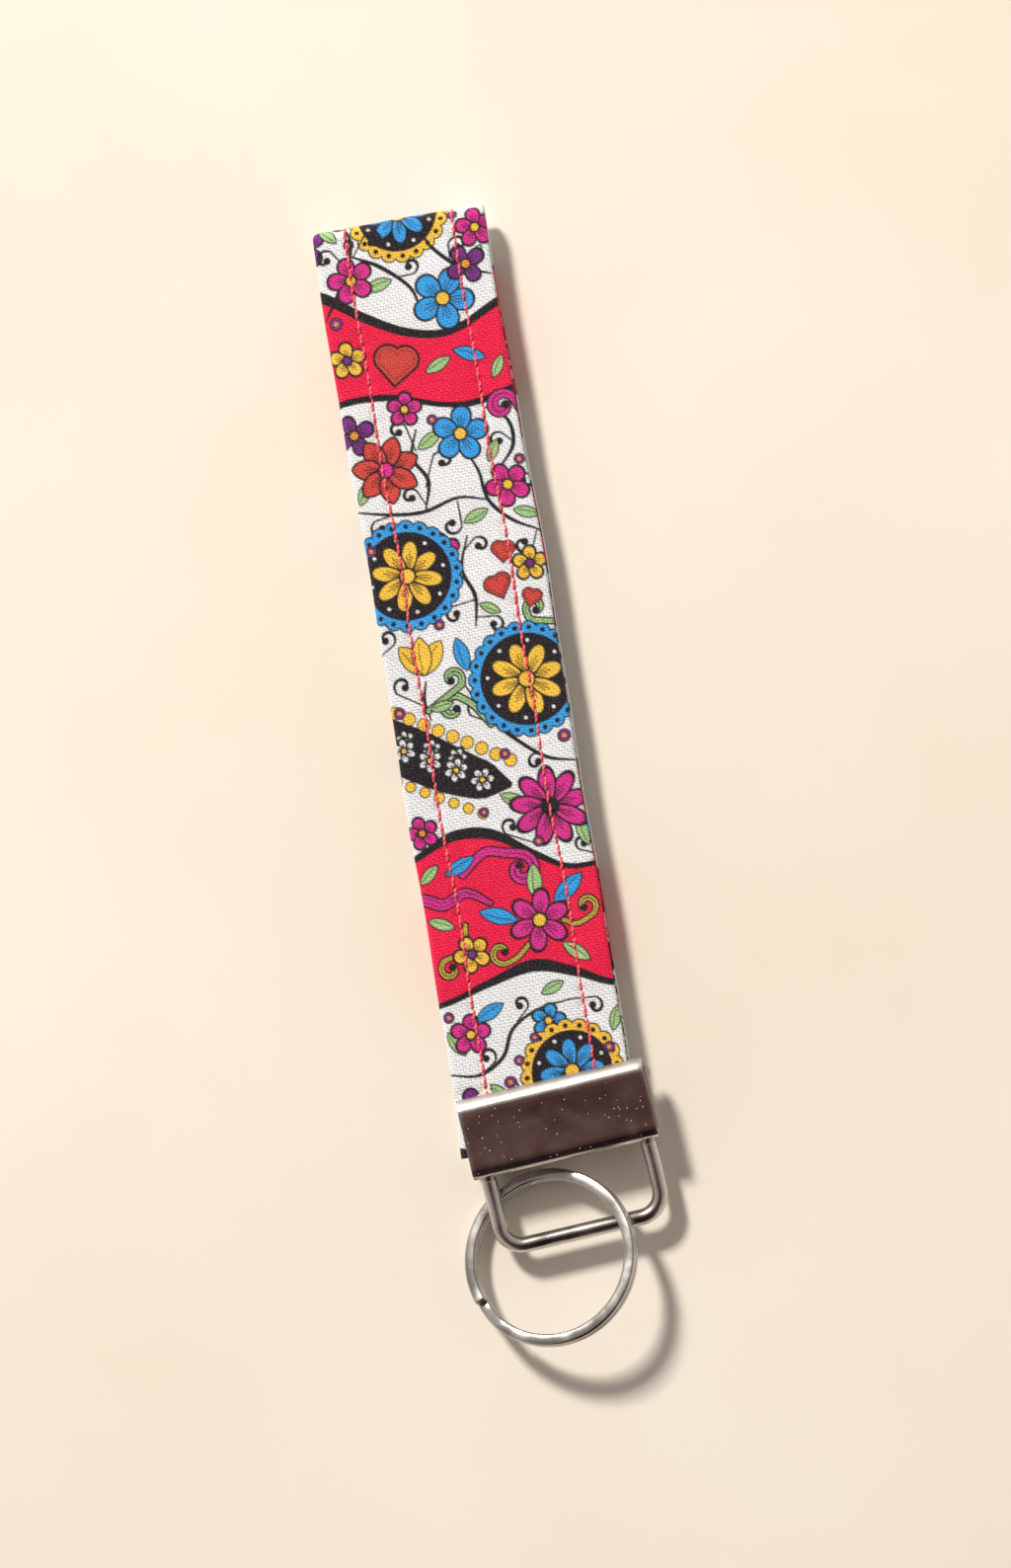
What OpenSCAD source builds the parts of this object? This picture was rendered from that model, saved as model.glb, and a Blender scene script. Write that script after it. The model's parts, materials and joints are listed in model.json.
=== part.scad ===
// Wrist strap key fob: a folded fabric loop held in a pinch clamp that carries a wire loop and a
// split ring. Millimetres, +Z up out of the back of the clamp, +Y along the clamp towards the
// wrist loop, origin at the middle of the clamp's flat back face.

/* [Clamp] */
// Width of the clamp, along X
clamp_w = 32; // [31:0.5:40]
// Height of the clamp from its base to its mouth, along Y
clamp_h = 13.8; // [12.5:0.1:18]
// Thickness of the crimped clamp, along Z
clamp_t = 9.0; // [8.8:0.1:9.6]
// Thickness of the clamp's sheet steel
sheet_t = 1.0; // [0.8:0.1:1.2]
// Distance between neighbouring teeth on the jaws
tooth_pitch = 2.0; // [1.5:0.5:4]
// How far each tooth bites into the cloth
tooth_bite = 0.4; // [0.2:0.1:0.6]

/* [Strap] */
// Width of the finished strap
strap_w = 30; // [26:0.5:32]
// Length of the flat loop from the clamp's mouth to the fold
strap_len = 150; // [120:1:180]
// Thickness of one sewn length of strap, cloth and interfacing together
layer_t = 2.0; // [1.8:0.1:2.2]
// Thickness of the cloth over the interfacing
cloth_t = 0.45; // [0.35:0.05:0.5]
// Angle by which the strap was crimped out of square, towards +X
strap_skew = 3.9; // [0:0.1:4]
// Sideways place of the strap's centre line at the clamp's mouth
strap_shift = -1.5; // [-1.5:0.1:0]

/* [Topstitching] */
// Distance between the two rows of topstitching
row_gap = 18.7; // [14:0.1:22]
// Length of one stitch
stitch_pitch = 2.0; // [1.8:0.1:3]
// Thickness of the thread
thread_t = 0.4; // [0.3:0.05:0.5]

/* [Wire loop] */
// Thickness of the wire
wire_t = 2.7; // [2.2:0.1:2.8]
// Distance between the centres of the two legs
leg_gap = 27; // [24:0.5:28]
// Distance from the clamp's base to the middle of the crossbar
bar_drop = 12.4; // [12:0.1:14]
// Radius of the wire's centre line at its corners
wire_bend_r = 3.8; // [3:0.1:5]

/* [Split ring] */
// Outer diameter of the ring
ring_d = 30; // [29.5:0.1:30.5]
// Width of the ring's wire, measured along the radius
ring_wire_w = 1.95; // [1.8:0.05:2]
// Thickness of one coil of the ring
ring_wire_t = 1.25; // [1.15:0.05:1.3]
// Slope of the resting ring, upwards along X
ring_slope_x = 0.2; // [0.19:0.01:0.21]
// Slope of the resting ring, downwards along Y
ring_slope_y = 0.28; // [0.27:0.01:0.29]

/* [Hidden] */
$fn = 64;
clear = 0.3;                              // air between lengths of strap that move apart
layers_gap = 0.3;                         // air between the front and back of the flat loop
mid_z = clamp_t / 2;                      // plane between the front and back of the strap
mouth_y = clamp_h / 2;
base_y = -clamp_h / 2;
layer_z = (layers_gap + layer_t) / 2;     // a layer's middle, above or below mid_z
stack_half = layer_z + layer_t / 2;       // half the thickness of the folded strap
core_t = layer_t - 2 * cloth_t;
core_w = strap_w - 4 * cloth_t;
end_r = layer_t / 2;                      // rounded end of each length, about its hinge line

// Clamp details
base_corner_r = 1.6;
lip_r = clamp_t / 2 - stack_half;         // the jaw rolls in from the plate down to the cloth
tooth_h = 0.7;

// Places along the strap, measured from the clamp's mouth
tuck = 10.8;                              // strap hidden inside the clamp
neck_y = stack_half + clear + 0.05;       // hinge line where the strap leaves the clamp
first_y = neck_y + 6.5;                   // first hinge line of the opening loop
fold_y = strap_len - 7;                   // last hinge line, beside the fold
lengths = 4;                              // rigid lengths that stand in for each side
length_y = (fold_y - first_y) / lengths;
stitch_margin = 2;                        // bare strap at both ends of a length's stitching
outside_proud = 0.15;                     // thread standing above the outer face
inside_proud = 0.05;                      // thread standing above the inner face

// Wire loop details
leg_x = leg_gap / 2;
bar_y = base_y - bar_drop;
neck_r = 0.95;                            // necked end of each leg
hole_r = 1.0;                             // hole in the clamp's base
rivet_r = 1.7;
rivet_t = 0.5;

// Split ring details
ring_r = (ring_d - ring_wire_w) / 2;      // middle of the ring's wire
coil_gap = 0.08;
coil_z = (ring_wire_t + coil_gap) / 2;    // a coil's middle, above or below the ring's
ring_x = -6.5;
ring_y = base_y - 15.4;
ring_z = mid_z + 1.6;
cross_deg = 25;                           // sector in which the wire crosses between its coils
cross_at = 212;                           // direction of that sector from the ring's centre
section_chamfer = 0.35;
splice = 0.5;                             // the crossing strand runs this far into each coil
big = 400;

// ---- Shared shapes ----

// Extrudes an outline drawn in (Y, Z) along X, centred on X = 0
module across(w) {
    rotate([90, 0, 90]) linear_extrude(w, center = true) children();
}

// Moves children from the strap's own frame to the clamp's: origin at the mouth, Y along the strap
module strap_frame() {
    translate([strap_shift, mouth_y, mid_z]) rotate([0, 0, -strap_skew]) children();
}

// Side outline of one layer from y0 to y1; side is 1 for the front and -1 for the back
module layer_outline(y0, y1, side) {
    translate([y0, side * layer_z - layer_t / 2]) square([y1 - y0, layer_t]);
}

// Side outline of one moving length: a round end on its own hinge line, a flat end short of the next
module length_outline(i, side) {
    y0 = first_y + (i - 1) * length_y;
    layer_outline(y0, y0 + length_y - end_r - clear, side);
    translate([y0, side * layer_z]) circle(r = end_r);
}

// Bar of interfacing that runs down the middle of one layer
module core_bar(side) {
    translate([0, 0, side * layer_z]) cube([core_w, big, core_t], center = true);
}

// The cloth of a stretch of strap: its children without the interfacing
module cover_of(side) {
    strap_frame() difference() {
        children();
        core_bar(side);
    }
}

// The interfacing of a stretch of strap
module core_of(side) {
    strap_frame() intersection() {
        children();
        core_bar(side);
    }
}

// ---- Clamp ----

// Rolled jaw at the mouth, seen from the end; drawn for the front plate
module jaw_outline() {
    translate([mouth_y - lip_r, clamp_t - lip_r]) intersection() {
        difference() {
            circle(r = lip_r);
            circle(r = lip_r - sheet_t);
        }
        square(lip_r + 1);
    }
}

// Bent sheet, seen from the end, without the jaws
module channel_outline() {
    difference() {
        union() {
            translate([base_y, base_corner_r])
                square([clamp_h - lip_r, clamp_t - 2 * base_corner_r]);
            translate([base_y + base_corner_r, 0])
                square([clamp_h - lip_r - base_corner_r, clamp_t]);
            for (z = [base_corner_r, clamp_t - base_corner_r])
                translate([base_y + base_corner_r, z]) circle(r = base_corner_r);
        }
        translate([base_y + sheet_t, sheet_t]) square([clamp_h, clamp_t - 2 * sheet_t]);
    }
}

// Row of pointed teeth below the front jaw
module jaw_teeth() {
    count = floor((clamp_w - 1) / tooth_pitch);
    tip_z = mid_z + stack_half - tooth_bite;
    points = [for (k = [0:count]) each [
        [(k - count / 2) * tooth_pitch, tip_z + tooth_h],
        if (k < count) [(k + 0.5 - count / 2) * tooth_pitch, tip_z]
    ]];
    outline = concat(
        [[-clamp_w / 2, tip_z + tooth_h + 0.3]],
        [[-clamp_w / 2, tip_z + tooth_h]],
        points,
        [[clamp_w / 2, tip_z + tooth_h]],
        [[clamp_w / 2, tip_z + tooth_h + 0.3]]
    );
    translate([0, mouth_y - 0.1, 0])
        rotate([90, 0, 0]) linear_extrude(sheet_t - 0.2) polygon(outline);
}

module both_jaws() {
    children();
    translate([0, 0, clamp_t]) mirror([0, 0, 1]) children();
}

module clamp() {
    color("gainsboro") difference() {
        union() {
            across(clamp_w) channel_outline();
            both_jaws() {
                across(clamp_w) jaw_outline();
                jaw_teeth();
            }
        }
        for (x = [-leg_x, leg_x])
            translate([x, base_y - 1, mid_z])
                rotate([-90, 0, 0]) cylinder(h = sheet_t + 2, r = hole_r);
    }
}

// ---- Wire loop ----

// One leg: shank, neck through the clamp's base, and the head riveted over inside
module wire_leg(x) {
    leg_len = bar_drop - wire_bend_r;
    translate([x, base_y, mid_z]) rotate([90, 0, 0]) cylinder(h = leg_len, d = wire_t);
    translate([x, base_y, mid_z]) rotate([-90, 0, 0]) {
        cylinder(h = sheet_t + rivet_t, r = neck_r);
        translate([0, 0, sheet_t]) cylinder(h = rivet_t, r = rivet_r);
    }
}

// Quarter bend that joins a leg to the crossbar
module wire_corner(side) {
    translate([side * (leg_x - wire_bend_r), bar_y + wire_bend_r, mid_z])
        rotate([0, 0, side > 0 ? -90 : 180])
            rotate_extrude(angle = 90) translate([wire_bend_r, 0]) circle(d = wire_t);
}

module wire_loop() {
    bar_len = leg_gap - 2 * wire_bend_r;
    color("silver") union() {
        wire_leg(-leg_x);
        wire_leg(leg_x);
        wire_corner(-1);
        wire_corner(1);
        translate([-bar_len / 2, bar_y, mid_z]) rotate([0, 90, 0]) cylinder(h = bar_len, d = wire_t);
    }
}

// ---- Split ring ----

// Section of the ring's wire: a rectangle with its corners broken
module ring_section() {
    w = ring_wire_w / 2;
    t = ring_wire_t / 2;
    c = section_chamfer;
    polygon([[w, -t + c], [w, t - c], [w - c, t], [c - w, t],
             [-w, t - c], [-w, -t + c], [c - w, -t], [w - c, -t]]);
}

// One coil, open by the sector in which the wire crosses over
module ring_coil(z) {
    translate([0, 0, z]) rotate([0, 0, cross_at + cross_deg / 2])
        rotate_extrude(angle = 360 - cross_deg, $fn = 128) translate([ring_r, 0]) ring_section();
}

// The short strand from the end of the upper coil to the start of the lower one
module ring_crossing() {
    half_chord = ring_r * sin(cross_deg / 2);
    depth = ring_r * cos(cross_deg / 2);
    run = sqrt(pow(2 * half_chord, 2) + pow(2 * coil_z, 2));
    rotate([0, 0, cross_at]) translate([depth, 0, 0])
        rotate([asin(2 * coil_z / run), 0, 0]) rotate([90, 0, 0])
            linear_extrude(run + 2 * splice, center = true) ring_section();
}

module split_ring() {
    tilt = atan(norm([ring_slope_x, ring_slope_y]));
    uphill = atan2(-ring_slope_y, ring_slope_x);
    color("lightgray") translate([ring_x, ring_y, ring_z])
        rotate([0, 0, uphill]) rotate([0, -tilt, 0]) rotate([0, 0, -uphill]) union() {
            ring_coil(coil_z);
            ring_coil(-coil_z);
            ring_crossing();
        }
}

// ---- Strap: ends inside the clamp ----

// Everything on the clamp's side of its mouth, in the strap's frame
module inside_clamp() {
    rotate([0, 0, strap_skew]) translate([-big / 2, -big, -big / 2]) cube([big, big + 0.05, big]);
}

module end_body(side) {
    intersection() {
        across(strap_w) layer_outline(-tuck, neck_y, side);
        inside_clamp();
    }
}

module front_end_cover() { color("crimson") cover_of(1) end_body(1); }
module front_end_core() { color("ivory") core_of(1) end_body(1); }
module back_end_cover() { color("crimson") cover_of(-1) end_body(-1); }
module back_end_core() { color("ivory") core_of(-1) end_body(-1); }

// ---- Strap: neck, which bends at the mouth ----

// Rounded about the hinge line, which is square to the clamp and not to the strap
module neck_rounding() {
    rotate([0, 0, strap_skew]) across(big) {
        translate([neck_y, 0]) circle(r = stack_half);
        translate([neck_y, -stack_half]) square([big, 2 * stack_half]);
    }
}

module neck_body(side) {
    intersection() {
        across(strap_w) layer_outline(-neck_y, first_y - end_r - clear, side);
        neck_rounding();
    }
}

module front_neck_cover() { color("crimson") cover_of(1) neck_body(1); }
module front_neck_core() { color("ivory") core_of(1) neck_body(1); }
module back_neck_cover() { color("crimson") cover_of(-1) neck_body(-1); }
module back_neck_core() { color("ivory") core_of(-1) neck_body(-1); }

// ---- Strap: the lengths of the loop ----

module strap_cover(i, side) {
    color("crimson") cover_of(side) across(strap_w) length_outline(i, side);
}

module strap_core(i, side) {
    color("ivory") core_of(side) across(strap_w) length_outline(i, side);
}

// Two rows of lockstitch: top and bobbin threads, joined where the needle went through
module strap_stitching(i, side) {
    y0 = first_y + (i - 1) * length_y + stitch_margin;
    count = floor((length_y - 2 * stitch_margin - end_r) / stitch_pitch);
    low = layer_z - layer_t / 2 - inside_proud;
    high = layer_z + layer_t / 2 + outside_proud;
    color("tomato") strap_frame() mirror([0, 0, side > 0 ? 0 : 1])
        for (x = [-row_gap / 2, row_gap / 2]) translate([x, 0, 0]) across(thread_t) difference() {
            translate([y0, low]) square([count * stitch_pitch, high - low]);
            for (k = [0:count - 1])
                translate([y0 + k * stitch_pitch + thread_t / 2, low + thread_t])
                    square([stitch_pitch - thread_t, high - low - 2 * thread_t]);
        }
}

// ---- Strap: the fold ----

// Side outline of the fold: a hairpin with round free ends on its two hinge lines
module fold_outline(half_t) {
    bend_y = strap_len - stack_half;
    difference() {
        union() {
            translate([bend_y, 0]) circle(r = layer_z + half_t);
            translate([fold_y, -layer_z - half_t]) square([bend_y - fold_y, 2 * (layer_z + half_t)]);
            for (side = [-1, 1]) translate([fold_y, side * layer_z]) circle(r = half_t);
        }
        translate([bend_y, 0]) circle(r = layer_z - half_t);
        translate([fold_y - big, half_t - layer_z])
            square([bend_y - fold_y + big, 2 * (layer_z - half_t)]);
    }
}

module fold_core_body() {
    across(core_w) fold_outline(core_t / 2);
}

module fold_cover() {
    color("crimson") strap_frame() difference() {
        across(strap_w) fold_outline(layer_t / 2);
        fold_core_body();
    }
}

module fold_core() {
    color("ivory") strap_frame() fold_core_body();
}

clamp();
wire_loop();
split_ring();
front_end_cover();
front_end_core();
back_end_cover();
back_end_core();
front_neck_cover();
front_neck_core();
back_neck_cover();
back_neck_core();
strap_cover(1, 1);  // front_cover_1
strap_core(1, 1);  // front_core_1
strap_stitching(1, 1);  // front_stitching_1
strap_cover(2, 1);  // front_cover_2
strap_core(2, 1);  // front_core_2
strap_stitching(2, 1);  // front_stitching_2
strap_cover(3, 1);  // front_cover_3
strap_core(3, 1);  // front_core_3
strap_stitching(3, 1);  // front_stitching_3
strap_cover(4, 1);  // front_cover_4
strap_core(4, 1);  // front_core_4
strap_stitching(4, 1);  // front_stitching_4
fold_cover();
fold_core();
strap_cover(4, -1);  // back_cover_4
strap_core(4, -1);  // back_core_4
strap_stitching(4, -1);  // back_stitching_4
strap_cover(3, -1);  // back_cover_3
strap_core(3, -1);  // back_core_3
strap_stitching(3, -1);  // back_stitching_3
strap_cover(2, -1);  // back_cover_2
strap_core(2, -1);  // back_core_2
strap_stitching(2, -1);  // back_stitching_2
strap_cover(1, -1);  // back_cover_1
strap_core(1, -1);  // back_core_1
strap_stitching(1, -1);  // back_stitching_1
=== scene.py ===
import json
from math import atan, atan2, ceil, cos, hypot, pi, radians, sin

import bmesh
import bpy
import numpy as np
from mathutils import Matrix, Vector


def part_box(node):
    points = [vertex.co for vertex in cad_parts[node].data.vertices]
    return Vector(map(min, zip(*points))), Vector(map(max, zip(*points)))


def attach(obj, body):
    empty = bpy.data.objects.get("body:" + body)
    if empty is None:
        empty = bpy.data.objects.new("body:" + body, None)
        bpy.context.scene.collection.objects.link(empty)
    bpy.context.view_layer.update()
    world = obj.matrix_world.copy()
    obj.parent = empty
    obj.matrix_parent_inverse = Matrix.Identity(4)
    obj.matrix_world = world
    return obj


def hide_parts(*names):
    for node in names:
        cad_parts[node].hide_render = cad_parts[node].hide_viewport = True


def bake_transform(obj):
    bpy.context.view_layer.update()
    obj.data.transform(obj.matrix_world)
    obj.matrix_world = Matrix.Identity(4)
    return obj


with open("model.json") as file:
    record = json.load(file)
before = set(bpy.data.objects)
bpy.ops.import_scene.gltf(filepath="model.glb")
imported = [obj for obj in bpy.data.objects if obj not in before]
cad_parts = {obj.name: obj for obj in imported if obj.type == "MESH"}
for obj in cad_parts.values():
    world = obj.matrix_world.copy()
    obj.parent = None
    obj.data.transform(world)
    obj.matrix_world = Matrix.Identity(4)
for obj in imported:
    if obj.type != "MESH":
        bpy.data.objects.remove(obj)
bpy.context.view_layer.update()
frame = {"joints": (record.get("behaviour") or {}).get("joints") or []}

print("frame loaded")

# Wrist strap key fob. Lengths in this script are millimetres until a mesh is placed.
mm = 0.001
scene = bpy.context.scene


def linearColour(hexCode):
    parts = [int(hexCode[i:i + 2], 16) / 255 for i in (1, 3, 5)]
    return [c / 12.92 if c <= 0.04045 else ((c + 0.055) / 1.055) ** 2.4 for c in parts]


def feed(tree, node, inputs):
    for key, value in inputs.items():
        if isinstance(value, bpy.types.NodeSocket):
            tree.links.new(value, node.inputs[key])
        else:
            node.inputs[key].default_value = value


def addNode(tree, kind, inputs=None, **settings):
    node = tree.nodes.new("ShaderNode" + kind)
    for key, value in settings.items():
        setattr(node, key, value)
    feed(tree, node, inputs or {})
    return node


def maths(tree, operation, *values):
    return addNode(tree, "Math", dict(enumerate(values)), operation=operation).outputs[0]


def vectorMaths(tree, operation, *values):
    return addNode(tree, "VectorMath", dict(enumerate(values)), operation=operation).outputs[0]


def scaled(tree, colour, amount):
    return addNode(tree, "VectorMath", {0: colour, "Scale": amount}, operation="SCALE").outputs[0]


def noise(tree, where, scale, detail, **more):
    inputs = {"Vector": where, "Scale": scale, "Detail": detail, **more}
    return addNode(tree, "TexNoise", inputs).outputs["Fac"]


def spread(tree, value, low, high, newLow=0.0, newHigh=1.0):
    return addNode(tree, "MapRange", {"Value": value, "From Min": low, "From Max": high,
                                      "To Min": newLow, "To Max": newHigh}).outputs[0]


def ramped(tree, value, *stops):
    node = addNode(tree, "ValToRGB", {0: value})
    ramp = node.color_ramp
    while len(ramp.elements) < len(stops):
        ramp.elements.new(0.5)
    for element, (place, colour) in zip(ramp.elements, stops):
        element.position = place
        element.color = (*linearColour(colour), 1)
    return node.outputs[0]


def mixed(tree, amount, first, second):
    return addNode(tree, "Mix", {0: amount, 6: first, 7: second}, data_type="RGBA").outputs[2]


def bumped(tree, height, strength, distance):
    return addNode(tree, "Bump", {"Height": height, "Strength": strength,
                                  "Distance": distance * mm}).outputs[0]


def newMaterial(name):
    material = bpy.data.materials.new(name)
    material.use_nodes = True
    tree = material.node_tree
    return material, tree, tree.nodes["Principled BSDF"]


# places that the frame settles

joints = {j["name"]: j for j in frame["joints"]}
clampLow, clampHigh = (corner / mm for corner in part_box("clamp"))
ringLow, ringHigh = (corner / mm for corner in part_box("split_ring"))
loopLow, loopHigh = (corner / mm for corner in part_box("wire_loop"))
openHinge = Vector(joints["loop_open"]["pos_m"]) / mm
foldHinge = Vector(joints["front_fold_bend"]["pos_m"]) / mm
midHeight = (clampLow.z + clampHigh.z) / 2
layerHeight = openHinge.z - midHeight
strapWay = (foldHinge - openHinge).normalized()
strapAcross = Vector((strapWay.y, -strapWay.x, 0))
mouth = openHinge + strapWay * ((clampHigh.y - openHinge.y) / strapWay.y)


def alongStrap(jointName):
    return (Vector(joints[jointName]["pos_m"]) / mm - mouth).dot(strapWay)


# the print on the cotton, drawn in mm: x across the strip, y along it
printInks = {
    "white": "#F4F9FF", "black": "#1A121C", "red": "#F6104A", "brick": "#D8483F",
    "magenta": "#E02E98", "blue": "#35A6F6", "gold": "#FFCE48", "green": "#ABD592",
    "purple": "#7C2E8C", "orange": "#EE9A40", "straw": "#D9BE4E",
}
printSettings = {
    "outline": 0.36,      # black line round every shape
    "bleed": 0.14,        # how far ink creeps along the threads
    "repeat": 150.0,      # length of the drawing before it comes again
    "drift": 5.5,         # the strip was cut a little across the repeat
}


def closeTo(cloth, at, reach):
    near = np.nonzero((np.abs(cloth["x"] - at[0]) < reach) & (np.abs(cloth["y"] - at[1]) < reach))[0]
    return near, cloth["x"][near] - at[0], cloth["y"][near] - at[1]


def ink(cloth, near, dist, colour):
    cover = np.clip(0.5 - dist / printSettings["bleed"], 0, 1)[:, None].astype(np.float32)
    tone = np.array(linearColour(printInks[colour]), np.float32)
    cloth["rgb"][near] = cloth["rgb"][near] * (1 - cover) + tone * cover


def outlined(cloth, near, dist, colour, line=None):
    ink(cloth, near, dist - (line or printSettings["outline"]), "black")
    ink(cloth, near, dist, colour)


def turned(px, py, turn):
    c, s = cos(radians(turn)), sin(radians(turn))
    return px * c + py * s, py * c - px * s


def barDistance(px, py, a, b, wide):
    bx, by = b[0] - a[0], b[1] - a[1]
    t = np.clip(((px - a[0]) * bx + (py - a[1]) * by) / (bx * bx + by * by), 0, 1)
    return np.hypot(px - a[0] - t * bx, py - a[1] - t * by) - wide


def pointedDistance(px, py, length, wide):
    # a leaf is where two large circles cross
    r = (length * length / 4 + wide * wide / 4) / wide
    return np.hypot(px, np.abs(py) + r - wide / 2) - r


def dot(cloth, at, size, colour, core=None):
    near, px, py = closeTo(cloth, at, size + 1)
    dist = np.hypot(px, py) - size
    outlined(cloth, near, dist, colour, 0.2)
    if core:
        ink(cloth, near, dist + size * 0.4, "black")
        ink(cloth, near, dist + size * 0.55, core)


def leaf(cloth, at, length, wide, turn, colour):
    near, px, py = closeTo(cloth, at, length)
    tx, ty = turned(px, py, turn)
    outlined(cloth, near, pointedDistance(tx, ty, length, wide), colour, 0.24)
    bowed = np.abs(ty - wide * 0.12 * np.cos(tx / length * 3)) - 0.08
    ink(cloth, near, np.maximum(bowed, np.abs(tx) - length * 0.38), "black")


def heart(cloth, at, size, turn, colour):
    near, px, py = closeTo(cloth, at, size)
    tx, ty = turned(px, py, turn)
    lobe = size * 0.28
    left = np.hypot(tx + lobe * 0.707, ty - lobe * 0.707) - lobe
    right = np.hypot(tx - lobe * 0.707, ty - lobe * 0.707) - lobe
    square = np.maximum(np.abs(tx + ty), np.abs(ty - tx)) / 1.414 - lobe
    dist = np.minimum(np.minimum(left, right), square)
    outlined(cloth, near, dist, colour, 0.1 + size * 0.045)
    ink(cloth, near, np.abs(dist + size * 0.075) - 0.05, "black")


def flower(cloth, at, size, petals, colour, middle, turn=0, pointed=False):
    near, px, py = closeTo(cloth, at, size * 1.3)
    step = 360 / petals
    wide = size * (0.66 if petals < 6 else 0.5 if petals < 8 else 0.4)
    for k in range(petals):
        tx, ty = turned(px, py, turn + step * k)
        if pointed:
            dist = pointedDistance(tx - size * 0.56, ty, size * 0.92, wide * 1.1)
        else:
            # a petal is an oval that is fuller at its free end
            fuller = 1 + 0.35 * np.clip((tx - size * 0.6) / size, -1, 1)
            oval = np.hypot((tx - size * 0.58) / (size * 0.42), ty / (wide / 2 * fuller))
            dist = (oval - 1) * wide * 0.5
        outlined(cloth, near, dist, colour)
    for k in range(petals):
        for lean, reach in ((-0.22, 0.60), (0, 0.70), (0.22, 0.60)):
            a = radians(turn + step * k) + lean * 5 / petals
            tip = (size * reach * cos(a), size * reach * sin(a))
            ink(cloth, near, barDistance(px, py, (0, 0), tip, 0.05 + size * 0.006), "black")
    outlined(cloth, near, np.hypot(px, py) - size * 0.2, middle)


def smoothLine(points, widths, steps=6):
    p = np.array(points, float)
    w = np.interp(np.linspace(0, 1, len(p)), np.linspace(0, 1, len(widths)), widths)
    if len(p) < 3:
        return p, w
    p = np.vstack([2 * p[0] - p[1], p, 2 * p[-1] - p[-2]])
    line, half = [], []
    for i in range(1, len(p) - 2):
        a, b, c, d = p[i - 1:i + 3]
        for t in np.arange(steps) / steps:
            bend = (2 * a - 5 * b + 4 * c - d) * t ** 2 + (3 * b - a - 3 * c + d) * t ** 3
            line.append(b + ((c - a) * t + bend) / 2)
            half.append(w[i - 1] * (1 - t) + w[i] * t)
    return np.array(line + [p[-2]]), np.array(half + [w[-1]])


def vine(cloth, points, widths, colour="black", line=0.0, groove=0.0):
    p, w = smoothLine(points, widths)
    middle = (p.max(0) + p.min(0)) / 2
    near, px, py = closeTo(cloth, middle, np.ptp(p, 0).max() / 2 + w.max() + 1.5)
    dist = np.full(len(near), 99.0)
    for a, b, wide in zip(p - middle, p[1:] - middle, (w[:-1] + w[1:]) / 2):
        if hypot(*(b - a)) > 1e-6:
            dist = np.minimum(dist, barDistance(px, py, a, b, wide))
    if line:
        ink(cloth, near, dist - line, "black")
    ink(cloth, near, dist, colour)
    if groove:
        ink(cloth, near, np.abs(dist + groove) - 0.07, "black")


def curl(cloth, at, size, turns, lead, widths=(0.14, 0.32, 0.24), colour="black", line=0.0, groove=0.0):
    # runs on smoothly from the lead and winds in to the middle; negative turns wind clockwise
    away = (lead[-1][0] - at[0], lead[-1][1] - at[1])
    start = np.arctan2(away[1], away[0]) + np.sign(turns) * np.arccos(min(size / hypot(*away), 1))
    count = int(ceil(abs(turns) * 14)) + 1
    ways = start + np.linspace(0, 2 * pi * turns, count)
    radii = size * np.linspace(1, 0.3, count)
    points = list(lead) + [(at[0] + r * cos(a), at[1] + r * sin(a)) for r, a in zip(radii, ways)]
    vine(cloth, points, widths, colour, line, groove)
    dot(cloth, points[-1], 0.45, "black")


def rosette(cloth, at, size, scallops, rim, colour, petals, turn=0):
    near, px, py = closeTo(cloth, at, size * 1.3)
    lobe = size * pi / scallops * 1.1
    # all scallops are one, seen at the nearest of their even steps
    way = np.arctan2(py, px)
    step = 2 * pi / scallops
    way -= np.round(way / step) * step
    far = np.hypot(px, py)
    sx, sy = far * np.cos(way), far * np.sin(way)
    outlined(cloth, near, np.hypot(sx - size, sy) - lobe, rim, 0.26)
    ink(cloth, near, np.hypot(sx - size * 1.04, sy) - lobe * 0.34, "black")
    ink(cloth, near, far - size * 0.93, "black")
    flower(cloth, at, size * 0.72, petals, colour, "gold", turn)
    for k in range(petals):
        a = radians(turn + 360 * (k + 0.5) / petals)
        dot(cloth, (at[0] + size * 0.78 * cos(a), at[1] + size * 0.78 * sin(a)), 0.3, "white")


def wave(cloth, low, high, colour):
    # ground between two wandering black lines; every point is x, y, half width of the line
    edges = []
    for points in (low, high):
        x, y, half = smoothLine(points, [1])[0].T
        edges.append((np.interp(cloth["x"], x, y), np.interp(cloth["x"], x, half)))
    every = slice(None)
    ink(cloth, every, np.maximum(edges[0][0] - cloth["y"], cloth["y"] - edges[1][0]), colour)
    for level, half in edges:
        ink(cloth, every, np.abs(cloth["y"] - level) - half, "black")


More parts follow.
